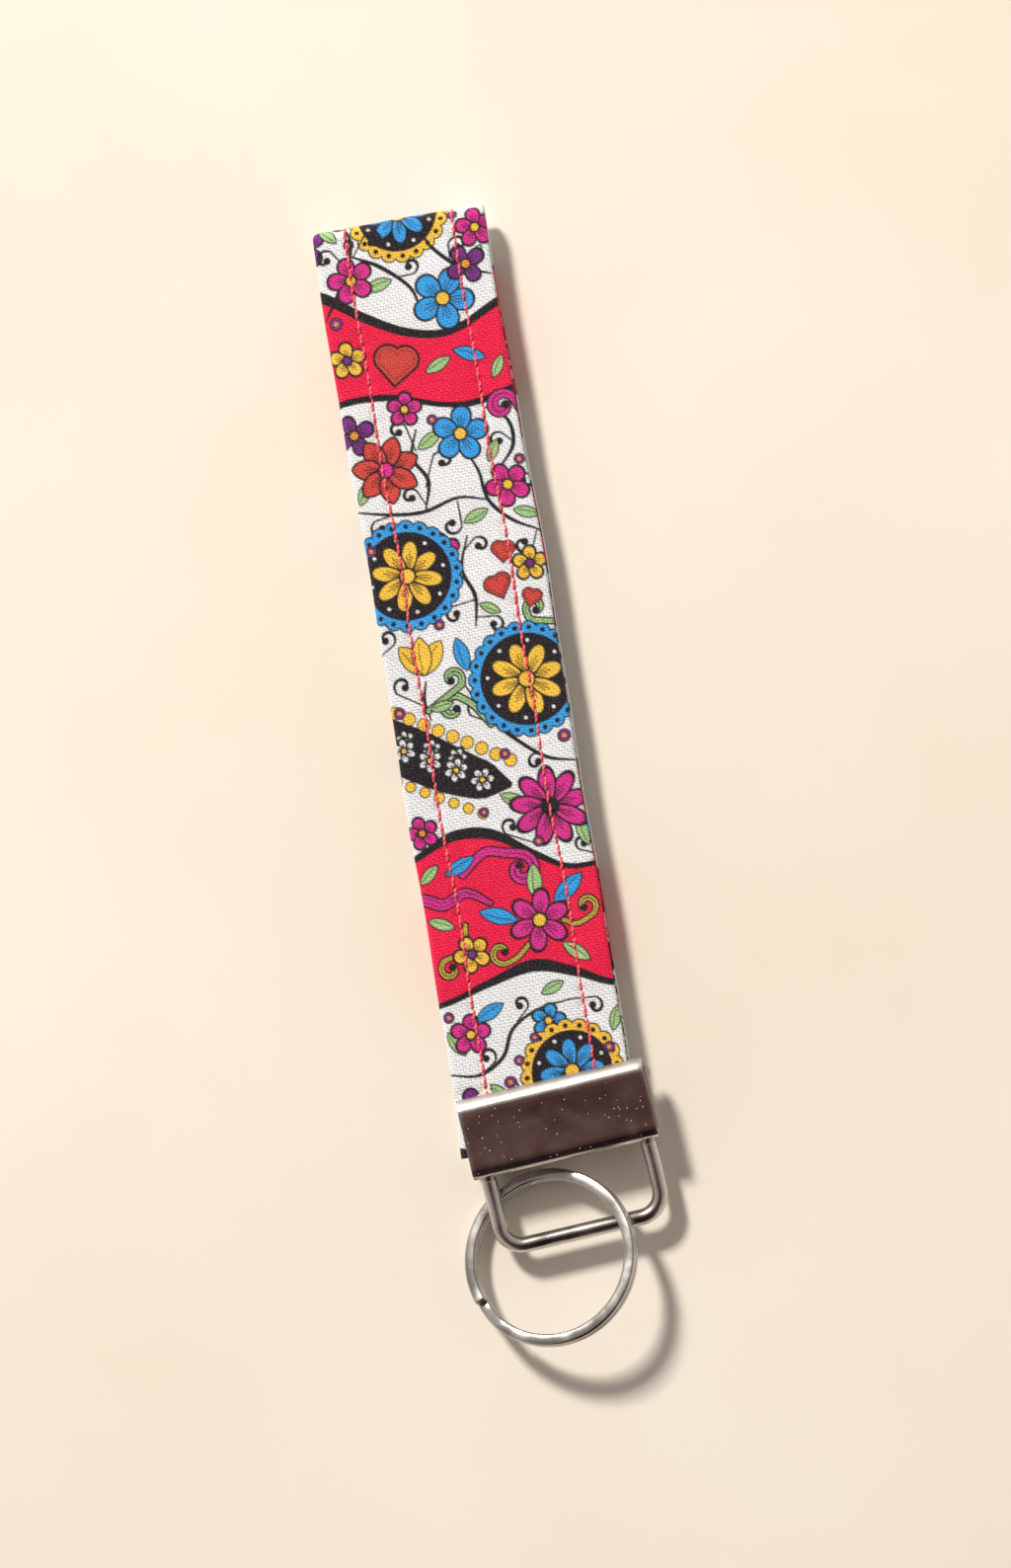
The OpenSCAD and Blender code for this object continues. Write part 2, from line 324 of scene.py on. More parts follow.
def drawRepeat(cloth):
    wave(cloth, [(-24, 16, 0.5), (-15, 15.2, 0.5), (-6, 17.6, 0.7), (2, 19.4, 1.1), (9, 17.2, 0.9),
                 (15, 14.4, 0.6), (24, 13, 0.5)],
                [(-24, 38, 0.5), (-15, 40.4, 0.6), (-8, 43.2, 0.9), (-1, 42.4, 1), (6, 37.6, 0.7),
                 (12, 34.8, 0.5), (24, 36, 0.5)], "red")
    wave(cloth, [(-24, 116, 0.5), (-15, 119.4, 0.6), (-6, 119.2, 0.6), (3, 116.4, 0.5), (10, 116.2, 0.6),
                 (24, 120, 0.5)],
                [(-24, 141, 0.8), (-15, 138.4, 1.1), (-8, 133.6, 1), (-1, 129.8, 0.8), (6, 128.8, 0.7),
                 (14, 132, 0.8), (24, 137, 0.6)], "red")

    # ribbon of daisies with beads along it
    vine(cloth, [(3, 50.4), (-2, 52.2), (-7, 54.8), (-12, 58), (-20, 62.6)], (.5, 3.4, 4.1, 4.4, 4.4))
    for k in range(9):
        dot(cloth, (4.0 - 2.3 * k, 54.4 + 1.4 * k), 1.0, "gold")
        dot(cloth, (-2.0 - 2.3 * k, 46.2 + 1.3 * k), 0.8, "gold")
    for k in range(5):
        flower(cloth, (-1.2 - 4.2 * k, 51.9 + 2.35 * k), 1.9, 6, "white", "gold", 11 * k)
        flower(cloth, (-4.9 - 4.2 * k, 56.3 + 2.2 * k), 1.5, 6, "white", "gold", 17 * k)

    # stems and tendrils
    for points in ([(15, 92.4), (10.6, 95), (7.4, 99), (6.8, 104), (5.2, 108)],
                   [(10.4, 104), (13.4, 107.6), (13.2, 112), (9.8, 114.8)],
                   [(-15, 100.6), (-9, 99.2), (-3.6, 98.8), (2.4, 100.2), (7.4, 99)],
                   [(-3.4, 99), (-2, 104), (-4, 108.4), (-2.6, 113)],
                   [(-14.6, 134.2), (-11.6, 139), (-8.6, 146), (-9.6, 151)],
                   [(-9, 144.6), (-4, 141.8), (.6, 137.4), (1.8, 133)],
                   [(14.6, 137.4), (9.4, 139.6), (5.4, 143.4), (4, 146)],
                   [(-15, 3.4), (-10, 2.6), (-5.6, 5), (-3.2, 9.4), (1.6, 12), (7.4, 12.8)],
                   [(14.8, 52.6), (10.4, 53.8), (6.2, 57), (1.4, 62), (-1.6, 68)],
                   [(-8.4, 63.4), (-9, 66.8), (-8.2, 70)],
                   [(1.8, 78), (2.4, 83), (.8, 88), (2.6, 93.4)]):
        vine(cloth, points, (.16, .38, .32, .16))
    for x, y, size, side, leadX, leadY in (
            (11.8, 90.4, 1.7, -1, 14.6, 92.6), (-11.8, 97.0, 1.7, 1, -8.6, 99.2),
            (.4, 95.6, 1.7, -1, 2.2, 99.6), (-5.6, 101.8, 1.5, 1, -3.2, 100),
            (1.2, 107.0, 1.9, -1, -2.6, 103), (-5.8, 113.4, 1.6, 1, -3.2, 109.4),
            (10.8, 108.8, 1.5, 1, 13.3, 108.4), (14.2, 101.0, 1.4, -1, 11.2, 103.6),
            (-13.4, 144.8, 1.7, 1, -9.8, 142.6), (-4.6, 146.6, 1.8, -1, -8.4, 144.4),
            (1.2, 141.2, 1.5, 1, -1.6, 139.6), (9.8, 143.4, 1.7, -1, 8, 140.4),
            (-8.2, 5.6, 1.6, 1, -9.8, 2.6), (-1.2, 13.4, 1.4, 1, -2.2, 10.6),
            (11.2, 11.0, 1.5, -1, 7.6, 12.8), (8.2, 53.4, 1.5, 1, 11, 53.6),
            (-.6, 64.2, 1.5, -1, 2.4, 60.8), (-12.2, 70.0, 1.7, -1, -8.6, 65.6),
            (5.2, 77.6, 1.5, -1, 2, 79.4), (4.6, 91.6, 1.5, -1, 1.4, 90.8),
            (-13.6, 78.4, 1.6, 1, -15.6, 75.4), (-1.6, 80.4, 1.5, 1, 2.2, 82.4),
            (13.6, 38.6, 1.3, -1, 15.6, 36.4), (2.2, 43.4, 1.6, -1, 5.4, 40)):
        curl(cloth, (x, y), size, 0.8 * side, [(leadX, leadY)])
    for at, size, turns, lead, colour, wide in (
            ((12.4, 28.0), 1.9, .8, [(8.2, 26.2), (10.4, 25.2)], "straw", .42),
            ((-3.0, 22.4), 2.0, -.8, [(2, 23.2), (-.4, 21.2)], "straw", .42),
            ((-12.0, 21.0), 1.8, .8, [(-8.4, 28), (-9.2, 24)], "straw", .42),
            ((-4.4, 64.8), 2.2, .8, [(1.6, 61), (-.8, 64.6)], "green", .56),
            ((-3.6, 69.8), 1.8, .8, [(-8.6, 65)], "green", .5),
            ((12.2, 79.4), 1.7, -.8, [(15.6, 76.4), (11.4, 77.4)], "green", .5),
            ((2.6, 35.8), 2.6, -.9, [(-7.4, 36.6), (-3.2, 39.6), (.4, 39)], "magenta", .85),
            ((12.6, 114.6), 2.3, .9, [(17, 110.6)], "magenta", .8)):
        curl(cloth, at, size, turns, lead, (wide * .7, wide, wide * .8), colour, .32, wide * .8)
    vine(cloth, [(-3.6, 31), (-7.4, 33.4), (-11.4, 32), (-15, 33.4), (-19, 33)], (.3, .8, .9, .8),
         "magenta", .32, .5)

    leaves = {
        "green": ((4.4, 33.4, 5.8, 2.3, 84), (9.6, 20.6, 5.2, 2, -40), (-13, 37.4, 4.2, 1.6, 40),
                  (-12.4, 28.8, 4.4, 1.7, -24), (3.6, 47.6, 4.8, 1.9, 150), (14.2, 40.6, 5, 2, 100),
                  (-6.2, 65.4, 3.8, 1.5, 10), (4.8, 96.6, 4.4, 1.8, 200), (13.4, 95.8, 4.2, 1.7, -20),
                  (9.8, 107.2, 3.8, 1.6, 60), (-0.6, 110.8, 4.6, 1.9, 30), (-5.8, 95.6, 4.2, 1.7, 150),
                  (-13.2, 103.6, 4, 1.7, 60), (-4.8, 138.8, 4.6, 1.9, 12), (12.4, 140.6, 4.4, 1.8, 60),
                  (-12.4, 149, 4.2, 1.7, 130), (-13, 8.4, 4.6, 1.9, 120), (4.6, 15.2, 4, 1.6, 20),
                  (3, 123.4, 4.8, 1.8, 24), (13, 121.4, 4, 1.6, 60), (14.2, 8.4, 4, 1.6, 70),
                  (-0.4, 85.8, 3.8, 1.5, 60), (4.6, 80.6, 3.6, 1.4, 150)),
        "blue": ((9.8, 31.4, 6.6, 2.6, 38), (-2.6, 28.6, 6.4, 2.5, 158), (-7.6, 38, 5.6, 2, 24),
                 (6.6, 60, 4.6, 1.8, 200), (-1.4, 73.6, 5.6, 2.3, 100), (-6.6, 12.8, 5.2, 2.1, 24),
                 (8.6, 124.4, 5.4, 2.1, -24)),
    }
    for colour, places in leaves.items():
        for x, y, length, wide, turn in places:
            leaf(cloth, (x, y), length, wide, turn, colour)
    for turn in (126, 54, 90):
        a = radians(turn)
        leaf(cloth, (-8.2 + 2.8 * cos(a), 71.6 + 2.8 * sin(a)), 6.4, 3.1, turn, "gold")

    for x, y, size, petals, colour, middle, turn in (
            (4.2, 26.8, 5.0, 6, "magenta", "gold", 18), (-8.0, 23.0, 3.0, 5, "gold", "purple", 40),
            (-12.8, 44.6, 2.6, 5, "magenta", "orange", 30), (9.4, 45.6, 6.3, 9, "magenta", "black", 8),
            (-10.4, 9.6, 3.2, 5, "magenta", "gold", 10), (-10.8, -2.6, 3.4, 4, "purple", "orange", 32),
            (3.0, 9.8, 2.7, 5, "blue", "gold", 0), (12.4, 87.0, 2.8, 5, "gold", "purple", 12),
            (11.2, 101.0, 3.6, 5, "magenta", "gold", 40), (-2.0, 91.6, 2.9, 5, "magenta", "orange", 20),
            (4.8, 111.0, 4.6, 5, "blue", "gold", 6), (-13.2, 113.8, 3.4, 4, "purple", "orange", 20),
            (-4.0, 116.8, 2.8, 5, "magenta", "gold", 80), (5.8, 134.6, 5.2, 5, "blue", "gold", -12),
            (-9.4, 140.4, 3.8, 5, "magenta", "gold", 30), (13.0, 145.8, 3.2, 5, "magenta", "gold", 20),
            (10.6, 139.8, 3.3, 4, "purple", "orange", 28), (-12.2, 126.8, 3.0, 5, "gold", "purple", 16)):
        flower(cloth, (x, y), size, petals, colour, middle, turn)
    flower(cloth, (-8.8, 107.0), 5.6, 7, "brick", "magenta", 15, pointed=True)
    rosette(cloth, (5.6, 0.8), 7.4, 20, "gold", "blue", 8)
    rosette(cloth, (8.8, 67.6), 8.5, 23, "blue", "gold", 8, 12)
    rosette(cloth, (-8.6, 88.4), 8.2, 22, "blue", "gold", 8, 30)
    for x, y, size, turn in ((-4.2, 124.2, 7.6, -14), (6.6, 83.8, 4.6, 14), (11.8, 81.0, 3.4, -20),
                             (8.2, 89.6, 4.0, -8)):
        heart(cloth, (x, y), size, turn, "brick")
    for x, y, size in (
            (-3.4, -3.4, 0.8), (-5, 0.6, 0.9), (-3, 4, 0.75), (0.2, 7.4, 0.7),
            (12.4, 3.8, 0.8), (-13.6, 13, 0.8), (-14, 93.6, 0.8), (13.6, 57, 1), (3.2, 55.6, 0.8),
            (-4.4, 79.2, 0.8), (-13.6, 65.4, 0.9), (14, 105, 0.8), (0.4, 114.2, 0.8), (-13, 133.4, 1),
            (9.4, 148.8, 0.8), (6.4, 40, 0.8), (-1.8, 46.4, 0.7)):
        dot(cloth, (x, y), size, "purple", "orange")


def printedColour(x, y):
    # linear colour of the cloth at x, y; shapes that cross the end of the repeat come in from
    # the next one
    turn = np.floor(y / printSettings["repeat"])
    x, y = x + turn * printSettings["drift"], y - turn * printSettings["repeat"]
    cloth = {"rgb": np.tile(np.array(linearColour(printInks["white"]), np.float32), (len(x), 1))}
    for k in (-1, 1, 0):
        cloth["x"], cloth["y"] = x - k * printSettings["drift"], y + k * printSettings["repeat"]
        drawRepeat(cloth)
    return cloth["rgb"]


# materials

def quiltingCotton():
    # plain woven cotton, pigment printed: matt, with the weave catching a little light and pale
    # fibres showing through the dark inks
    material, tree, shader = newMaterial("QuiltingCotton")
    threadSpacing = 0.5   # mm; real threads lie 0.37 mm apart, too fine to show
    ink = addNode(tree, "Attribute", attribute_name="printInk").outputs["Color"]
    place = addNode(tree, "Attribute", attribute_name="clothPlace").outputs["Vector"]
    warped = addNode(tree, "TexNoise", {"Vector": place, "Scale": 0.8, "Detail": 2.0}).outputs["Color"]
    wobble = vectorMaths(tree, "SUBTRACT", warped, (0.5, 0.5, 0.5))
    pushed = vectorMaths(tree, "MULTIPLY_ADD", wobble, (0.5, 0.5, 0), place)
    thread = vectorMaths(tree, "MULTIPLY", pushed, (pi / threadSpacing,) * 3)
    ways = addNode(tree, "SeparateXYZ", {0: thread})
    warp = maths(tree, "SINE", ways.outputs[0])
    weft = maths(tree, "SINE", ways.outputs[1])
    onTop = maths(tree, "GREATER_THAN", maths(tree, "MULTIPLY", warp, weft), 0.0)
    crown = addNode(tree, "Mix", {0: onTop, 2: maths(tree, "ABSOLUTE", warp),
                                  3: maths(tree, "ABSOLUTE", weft)}).outputs[0]
    # slubs: threads are not all equally thick
    slubs = [noise(tree, vectorMaths(tree, "MULTIPLY", place, grain), 1.0, 1.0)
             for grain in ((2.6, 0.16, 1), (0.16, 2.6, 1))]
    height = maths(tree, "MULTIPLY_ADD", maths(tree, "ADD", *slubs), 0.6, crown)
    # painted shade and highlight: the print is darkened in the hollows between the threads and lightened
    # on their crowns; it also fades where the cloth is handled
    weaveShadedInk = scaled(tree, ink, spread(tree, height, 0.7, 1.7, 0.74, 1.12))
    bare = spread(tree, noise(tree, place, 3.2, 3.0), 0.50, 0.74, 0.0, 0.15)
    faded = mixed(tree, maths(tree, "MULTIPLY", bare, crown), weaveShadedInk, (*linearColour("#D9D2D6"), 1))
    soil = spread(tree, noise(tree, place, 0.09, 3.0), 0.3, 0.7, 0.93, 1.03)
    feed(tree, shader, {"Base Color": scaled(tree, faded, soil),
                        "Roughness": spread(tree, height, 0.7, 1.7, 0.95, 0.78),
                        "Sheen Weight": 0.12,
                        "Sheen Roughness": 0.5,
                        "Specular IOR Level": 0.3,
                        "Normal": bumped(tree, height, 0.75, 0.10)})
    return material


def spunPolyester():
    # two-ply sewing thread, dyed coral: the plies wind round each other and give it a soft sheen, partly
    # from the shader and partly painted
    material, tree, shader = newMaterial("SpunPolyesterThread")
    ply = maths(tree, "SINE", addNode(tree, "Attribute", attribute_name="ply").outputs["Fac"])
    fuzz = noise(tree, addNode(tree, "TexCoord").outputs["Object"], 2200.0, 2.0)
    level = maths(tree, "MULTIPLY_ADD", fuzz, 1.4, ply)
    shade = spread(tree, level, -0.8, 2.2)
    # painted shade and highlight: darker coral in the grooves between the plies, paler on their crowns
    plyShadedCoral = ramped(tree, shade, (0.05, "#C02C42"), (0.5, "#F04458"), (1.0, "#FF8E94"))
    feed(tree, shader, {"Base Color": plyShadedCoral,
                        "Roughness": 0.55,
                        "Sheen Weight": 0.3,
                        "Normal": bumped(tree, level, 0.6, 0.05)})
    return material


def bondedInterfacing():
    # pressed fibre web: off-white, random matted fibres
    material, tree, shader = newMaterial("BondedInterfacing")
    fibres = noise(tree, addNode(tree, "TexCoord").outputs["Object"], 900.0, 5.0, Distortion=1.6)
    feed(tree, shader, {"Base Color": ramped(tree, fibres, (0.3, "#CFC8B8"), (0.6, "#F0EBDF")),
                        "Roughness": 0.9,
                        "Normal": bumped(tree, fibres, 0.5, 0.08)})
    return material


def nickelPlate(name, light, dark, rough, grain, scratch, dust, scuffed=None):
    # bright nickel over steel: mirror-like under smudges, hairline scratches and a little dust.
    # grain stretches the scratches along X, Y or neither; scuffed is where in Y, in mm, the
    # crimping tool has rubbed it matt
    material, tree, shader = newMaterial(name)
    place = addNode(tree, "TexCoord").outputs["Object"]
    hair = noise(tree, vectorMaths(tree, "MULTIPLY", place, grain), 1.0, 6.0, Roughness=0.7)
    smudge = noise(tree, place, 160.0, 4.0, Distortion=0.8)
    specks = addNode(tree, "TexVoronoi", {"Vector": place, "Scale": 1300.0, "Randomness": 1.0})
    fewer = maths(tree, "GREATER_THAN", noise(tree, place, 420.0, 2.0), 0.52)
    small = maths(tree, "LESS_THAN", specks.outputs["Distance"], 0.12)
    settled = maths(tree, "MULTIPLY", maths(tree, "MULTIPLY", fewer, small), dust)
    clean = ramped(tree, smudge, (0.3, dark), (0.7, light))
    matt = spread(tree, smudge, 0.3, 0.75, rough, rough * 2.0)
    dulled = maths(tree, "ADD", maths(tree, "MULTIPLY_ADD", hair, rough * 0.8, matt), settled)
    if scuffed:
        along = addNode(tree, "SeparateXYZ", {0: place}).outputs[1]
        rolled = spread(tree, along, scuffed * mm, (scuffed + 1.8) * mm, 0.0, 0.3)
        dulled = maths(tree, "ADD", dulled, rolled)
    feed(tree, shader, {"Base Color": mixed(tree, settled, clean, (*linearColour("#EDE6DC"), 1)),
                        "Metallic": spread(tree, settled, 0.0, 1.0, 1.0, 0.1),
                        "Roughness": dulled,
                        "Normal": bumped(tree, hair, scratch, 0.02)})
    return material


# the strap: cotton folded round interfacing, doubled over at the fold

strap = {
    "width": 30.0,
    "thick": 2.0,         # one sewn layer
    "cloth": 0.42,
    "hem": 2.8,           # cloth turned in at the open edge
    "hemGap": 0.07,
    "coreInset": 3.6,     # the interfacing is this much narrower than the strap
    "nip": 0.42,          # the jaws press the cloth in by this
    "nipInside": 0.7,     # and deepest this far inside the mouth
    "nipReach": 1.5,
    "backShift": 0.35,    # the lower layer was folded a little to one side
    "length": 150.0,      # from the clamp's mouth to the outside of the fold
    "tuck": 10.8,         # hidden in the clamp
    "faceStep": 0.18,     # mesh step on the printed outer face
    "backStep": 0.6,      # mesh step on the face that looks into the loop
    "rowStep": 0.18,      # mesh step along the strap
    "rowGap": 18.7,
    "stitch": 2.3,
    "thread": 0.5,
    "repeatInside": 68.0,  # the inner face shows another stretch of the drawing
}
strapHalf = strap["thick"] / 2
bendStart = strap["length"] - layerHeight - strapHalf
bendLength = pi * layerHeight
strapWhole = 2 * bendStart + bendLength
stitchRows = (-strap["rowGap"] / 2, strap["rowGap"] / 2)


def strapPlace(u, s, h):
    # u across, s along the middle of the layer and round the fold, h outwards from that middle
    turn = np.clip((s - bendStart) / layerHeight, 0, pi)
    before = np.minimum(s, bendStart)
    after = np.maximum(s - bendStart - bendLength, 0)
    reach = layerHeight + h
    along = before + reach * np.sin(turn) - after
    up = midHeight + reach * np.cos(turn)
    flat = np.outer(u, strapAcross) + np.outer(along, strapWay) + np.array(mouth)
    flat[:, 2] = up
    return flat


def printPlace(u, s, h):
    # the drawing runs on over the fold and round the folded edge
    turn = np.clip((s - bendStart) / layerHeight, 0, pi)
    along = np.minimum(s, bendStart) + turn * (layerHeight + strapHalf)
    along = along + np.maximum(s - bendStart - bendLength, 0)
    edge = strapHalf - strap["width"] / 2
    wrapped = edge - strapHalf * (pi / 2 - np.arctan2(h, np.maximum(edge - u, 1e-6)))
    inside = h < -0.9 * strapHalf
    x = np.where(u < edge, wrapped, u)
    return np.where(inside, -u, x), np.where(inside, along + strap["repeatInside"], along)


def fromMouth(s):
    # how far a place lies from the clamp's mouth, on either layer
    return np.where(s < bendStart, s, strapWhole - s)


def nipped(y):
    # how far the jaws press the cloth in
    return strap["nip"] * np.exp(-((y + strap["nipInside"]) / strap["nipReach"]) ** 2)


def sway(s):
    # hand sewn edges wander a little; the same on both layers
    y = np.clip(fromMouth(s), -20, bendStart + 3)
    return 0.16 * np.sin(y / 11.0) + 0.10 * np.sin(y / 4.7 + 1) + 0.35 * np.sin((y + 6) / 50)


def relief(u, s, h):
    # how far the cloth stands above or below the flat layer
    y = fromMouth(s)
    half = strap["rowGap"] / 2
    out = np.clip(h / strapHalf, -1, 1)
    bump = np.zeros_like(u)
    for row in stitchRows:
        off = u - row - rowDrift(s)
        dent = np.exp(-(off / 0.75) ** 2)
        bump -= dent * (0.19 + 0.07 * np.cos(2 * pi * s / strap["stitch"]))
        pucker = np.sin(2 * pi * s / (strap["stitch"] * 1.5) + 2 * np.sin(s / 7 + row))
        bump += 0.035 * pucker * np.exp(-(off / 2.1) ** 2)
    bump += 0.07 * np.cos(u / half * pi / 2) * (np.abs(u) < half)
    bump += 0.05 * np.sin(y / 6.3 + u / 5) * np.sin(u / 4.1 + 2) + 0.03 * np.sin(y / 2.9 - u / 2.2)
    # the hem makes the open edge stand a little higher
    bump += 0.06 / (1 + np.exp(-(u - 9.9) / 0.35))
    # nipped by the jaws, and creased where it leaves them
    bump -= nipped(y)
    crease = np.abs((u - 12.2) * 0.5 + (y - 3.2) * 0.9)
    bump += 0.22 * np.exp(-(crease / 0.7) ** 2) * np.exp(-(((u - 12.4) / 2.6) ** 2))
    return bump * out


def rowDrift(s):
    return 0.12 * np.sin(s / 17.0) + 0.06 * np.sin(s / 5.1 + 2)


def drawOn(bm, geom, steps, step=(0, 0, 0), angle=0, centre=(0, 0, 0), axis=(0, 0, 1), copy=False):
    # draws geometry out, or copies it, in equal steps along a vector or round a centre
    return bmesh.ops.spin(bm, geom=geom, cent=centre, axis=axis, dvec=step, angle=angle, steps=steps,
                          use_duplicate=copy)["geom_last"]


def drawLine(bm, start, moves, axis=(0, -1, 0)):
    # a line of vertices from the start; a move is a vector and its steps, or a centre to go round,
    # an angle and its steps. The cloth's section lies in the XZ plane
    last = bmesh.ops.create_vert(bm, co=start)["vert"]
    for where, *angle, steps in moves:
        if angle:
            last = drawOn(bm, last, steps, angle=angle[0], centre=where, axis=axis)
        else:
            last = drawOn(bm, last, steps, Vector(where) / steps)
        last = [g for g in last if isinstance(g, bmesh.types.BMVert)]


def clothSection(bm):
    # from the hidden end of the upper hem, round the open edge, the outer face, the folded edge
    # and the inner face, then back along the inside of the cloth
    half, cloth, gap = strapHalf, strap["cloth"], strap["hemGap"] / 2
    lip = (half - gap) / 2
    side = strap["width"] / 2
    run = strap["hem"] - lip
    face = strap["width"] - lip - half
    upper, lower, folded = (side - lip, 0, half - lip), (side - lip, 0, lip - half), (half - side, 0, 0)
    drawLine(bm, (side - strap["hem"], 0, gap + cloth), (
        ((0, 0, -cloth), 1),
        ((run, 0, 0), 3),
        (upper, pi, 10),
        ((-face, 0, 0), round(face / strap["faceStep"])),
        (folded, pi, 14),
        ((face, 0, 0), round(face / strap["backStep"])),
        (lower, pi, 10),
        ((-run, 0, 0), 3),
        ((0, 0, -cloth), 1),
        ((run, 0, 0), 1),
        (lower, -pi, 3),
        ((-face, 0, 0), 8),
        (folded, -pi, 4),
        ((face, 0, 0), 8),
        (upper, -pi, 3),
        ((-run, 0, 0), 1)))


def walkRound(bm):
    # numbers the section's vertices by the distance walked round it
    walk = bm.verts.layers.float.new("walk")
    bm.verts.ensure_lookup_table()
    far, before = 0.0, bm.verts[0].co
    for vert in bm.verts:
        far += (vert.co - before).length
        vert[walk] = far
        before = vert.co
    return far


def sweepAlong(bm, start, end, step):
    # a coarse sweep, then each long edge is divided: far quicker than a sweep in fine steps
    rows = max(4, (end - start) / step)
    coarse = max(2, round(rows ** 0.5))
    bmesh.ops.translate(bm, vec=(0, start, 0), verts=bm.verts)
    drawOn(bm, bm.verts[:] + bm.edges[:], coarse, (0, (end - start) / coarse, 0))
    lengthwise = [e for e in bm.edges if abs(e.verts[0].co.y - e.verts[1].co.y) > 1e-5]
    cuts = round(rows / coarse) - 1
    if cuts > 0:
        bmesh.ops.subdivide_edges(bm, edges=lengthwise, cuts=cuts, use_grid_fill=True)
    bmesh.ops.remove_doubles(bm, verts=bm.verts, dist=0.0005)
    closeEnds(bm)


def closeEnds(bm):
    # caps with sharp rims, so that they don't shade the cloth beside them
    rims = [e for e in bm.edges if e.is_boundary]
    bmesh.ops.holes_fill(bm, edges=rims, sides=0)
    for edge in rims:
        edge.smooth = False
    bmesh.ops.recalc_face_normals(bm, faces=bm.faces)


def meshFrom(bm, name):
    mesh = bpy.data.meshes.new(name)
    bm.to_mesh(mesh)
    bm.free()
    return mesh


def objectOf(mesh):
    piece = bpy.data.objects.new(mesh.name, mesh)
    scene.collection.objects.link(piece)
    return piece


def readPoints(mesh):
    points = np.zeros(len(mesh.vertices) * 3, np.float32)
    mesh.vertices.foreach_get("co", points)
    return points.reshape(-1, 3).astype(float)


def writePoints(mesh, points):
    mesh.vertices.foreach_set("co", (points * mm).astype(np.float32).ravel())
    mesh.update()


def addAttribute(mesh, name, kind, field, values):
    values = np.asarray(values, np.float32).ravel()
    mesh.attributes.new(name, kind, "POINT").data.foreach_set(field, values)


def newPiece(mesh, material):
    piece = objectOf(mesh)
    mesh.materials.append(material)
    mesh.polygons.foreach_set("use_smooth", [True] * len(mesh.polygons))
    return piece


def bakingMap(mesh, around, share):
    # most of the map's width is the printed outer face; the section's last vertices meet its first
    corners = np.zeros(len(mesh.loops), np.int32)
    mesh.loops.foreach_get("vertex_index", corners)
    sizes = np.zeros(len(mesh.polygons), np.int32)
    mesh.polygons.foreach_get("loop_total", sizes)
    walk = np.zeros(len(mesh.vertices), np.float32)
    mesh.attributes["walk"].data.foreach_get("value", walk)
    starts = np.concatenate([[0], np.cumsum(sizes)[:-1]])
    far = walk[corners]
    highest = np.repeat(np.maximum.reduceat(far, starts), sizes)
    far = np.where(highest - far > around / 2, far + around, far)
    faceFrom = strap["cloth"] + strap["hem"]
    knots = (0, faceFrom, faceFrom + strap["width"] + 2, around)
    flat = np.stack([np.interp(far, knots, (0, 0.06, 0.86, 1)), 0.02 + 0.96 * share[corners]], axis=1)
    mesh.uv_layers.new(name="OFBake").data.foreach_set("uv", flat.astype(np.float32).ravel())


def clothPiece(name, start, end, roundEnd, material):
    bm = bmesh.new()
    clothSection(bm)
    around = walkRound(bm)
    sweepAlong(bm, start, end, strap["rowStep"])
    mesh = meshFrom(bm, name)
    u, s, h = readPoints(mesh).T
    bakingMap(mesh, around, (s - start) / (end - start))
    x, along = printPlace(u, s, h)
    colour = np.ones((len(u), 4), np.float32)
    colour[:, :3] = printedColour(x, along)
    addAttribute(mesh, "printInk", "FLOAT_COLOR", "color", colour)
    place = np.stack([x, along, np.zeros_like(x)], axis=1)
    addAttribute(mesh, "clothPlace", "FLOAT_VECTOR", "vector", place)
    if roundEnd:
        s = s + roundEnd(s, h)
    backShift = strap["backShift"] * np.clip((s - bendStart) / 30, 0, 1)
    writePoints(mesh, strapPlace(u + sway(s) + backShift, s, h + relief(u, s, h)))
    return newPiece(mesh, material)


def corePiece(name, start, end, material):
    # a strip of stiff interfacing, cut with slightly crushed edges
    half, thick = (strap["width"] - strap["coreInset"]) / 2, strapHalf - strap["cloth"] - 0.04
    bm = bmesh.new()
    drawLine(bm, (-half - 1.2, 0, thick * 0.4), (
        ((0, 0, -thick * 0.8), 1),
        ((0.5, 0, -thick * 0.6), 1),
        ((2 * half - 1.6, 0, 0), 18),
        ((0.4, 0, thick * 0.6), 1),
        ((0, 0, thick * 0.8), 1),
        ((-0.4, 0, thick * 0.6), 1),
        ((1.6 - 2 * half, 0, 0), 18),
        ((-0.5, 0, -thick * 0.6), 1)))
    sweepAlong(bm, start, end, 0.8)
    mesh = meshFrom(bm, name)
    u, s, h = readPoints(mesh).T
    ripple = 0.02 * np.sin(s / 1.7 + u / 3) * np.sin(u / 2.3)
    writePoints(mesh, strapPlace(u + sway(s), s, h + ripple))
    return newPiece(mesh, material)


